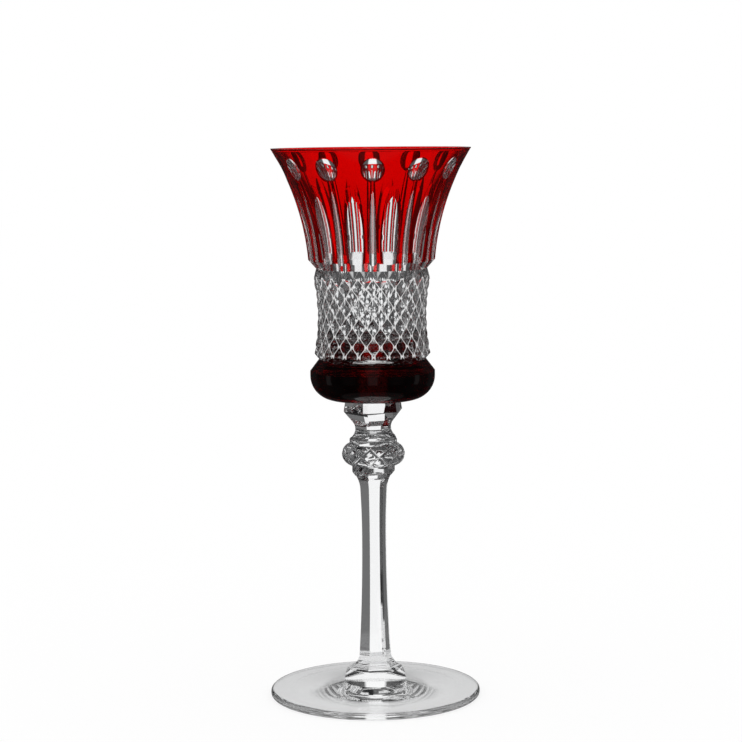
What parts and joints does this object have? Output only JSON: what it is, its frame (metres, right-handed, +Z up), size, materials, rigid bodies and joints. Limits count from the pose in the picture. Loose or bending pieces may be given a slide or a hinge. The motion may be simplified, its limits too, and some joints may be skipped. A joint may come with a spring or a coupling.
{
  "type": "cordial glass",
  "caption": "Stemmed cut crystal cordial glass with a ruby-cased flared bowl, a diamond-cut band, a faceted capital, a cut knop, a six-sided stem and a round foot.",
  "frame": {"origin": "centre of the flat ring that the foot rests on, at the underside of the glass", "axes": "+Z up along the stem; -Y towards the viewer of the picture, +X to the viewer's right"},
  "size_m": [0.0614, 0.0614, 0.16],
  "materials": {
    "crystal": "clear cut crystal, polished all over, with crisp cut edges",
    "ruby": "thin transparent ruby casing, polished, cut through to the clear glass"
  },
  "bodies": {
    "root": {"foot": "crystal", "foot_button": "crystal", "stem": "crystal", "stem_collar": "crystal", "knop": "crystal", "knop_ring": "crystal", "capital": "crystal", "bowl": "crystal", "cup_casing": "ruby", "flare_casing": "ruby"}
  },
  "joints": []
}
